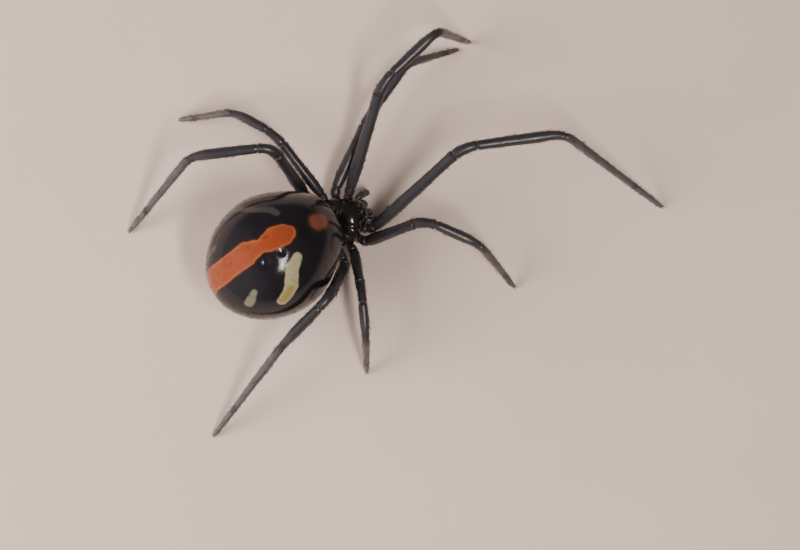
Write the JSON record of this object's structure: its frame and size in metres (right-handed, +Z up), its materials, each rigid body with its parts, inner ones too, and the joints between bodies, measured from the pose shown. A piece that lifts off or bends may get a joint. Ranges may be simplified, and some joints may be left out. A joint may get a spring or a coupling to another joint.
{
  "type": "black widow spider",
  "caption": "A still, life-size female black widow spider standing on its eight feet, with a round glossy abdomen and long thin legs, as a display model.",
  "frame": {"origin": "on the floor, below the middle of the whole standing animal, legs included", "axes": "+Z up, the head towards -Y, the abdomen towards +Y, the animal's left side towards +X"},
  "size_m": [0.0164, 0.0256, 0.0069],
  "materials": {
    "carapace": "near-black cuticle with a satin shine and fine short hairs",
    "abdomen": "glossy near-black cuticle with orange, cream and red markings",
    "leg": "near-black, slightly purple-grey cuticle with short dark hairs",
    "leg_end": "brown-grey cuticle with fine hairs",
    "jaw": "glossy dark brown cuticle",
    "spinneret": "dull brown, hairy cones"
  },
  "bodies": {
    "root": {"prosoma": "carapace", "abdomen": "abdomen", "spinnerets": "spinneret", "chelicera_left": "jaw", "chelicera_right": "jaw", "pedipalp_left": "leg", "pedipalp_right": "leg", "leg_left_1_coxa": "leg", "leg_left_1_femur": "leg", "leg_left_1_tibia": "leg", "leg_left_1_foot": "leg_end", "leg_left_2_coxa": "leg", "leg_left_2_femur": "leg", "leg_left_2_tibia": "leg", "leg_left_2_foot": "leg_end", "leg_left_3_coxa": "leg", "leg_left_3_femur": "leg", "leg_left_3_tibia": "leg", "leg_left_3_foot": "leg_end", "leg_left_4_coxa": "leg", "leg_left_4_femur": "leg", "leg_left_4_tibia": "leg", "leg_left_4_foot": "leg_end", "leg_right_1_coxa": "leg", "leg_right_1_femur": "leg", "leg_right_1_tibia": "leg", "leg_right_1_foot": "leg_end", "leg_right_2_coxa": "leg", "leg_right_2_femur": "leg", "leg_right_2_tibia": "leg", "leg_right_2_foot": "leg_end", "leg_right_3_coxa": "leg", "leg_right_3_femur": "leg", "leg_right_3_tibia": "leg", "leg_right_3_foot": "leg_end", "leg_right_4_coxa": "leg", "leg_right_4_femur": "leg", "leg_right_4_tibia": "leg", "leg_right_4_foot": "leg_end"}
  },
  "joints": []
}
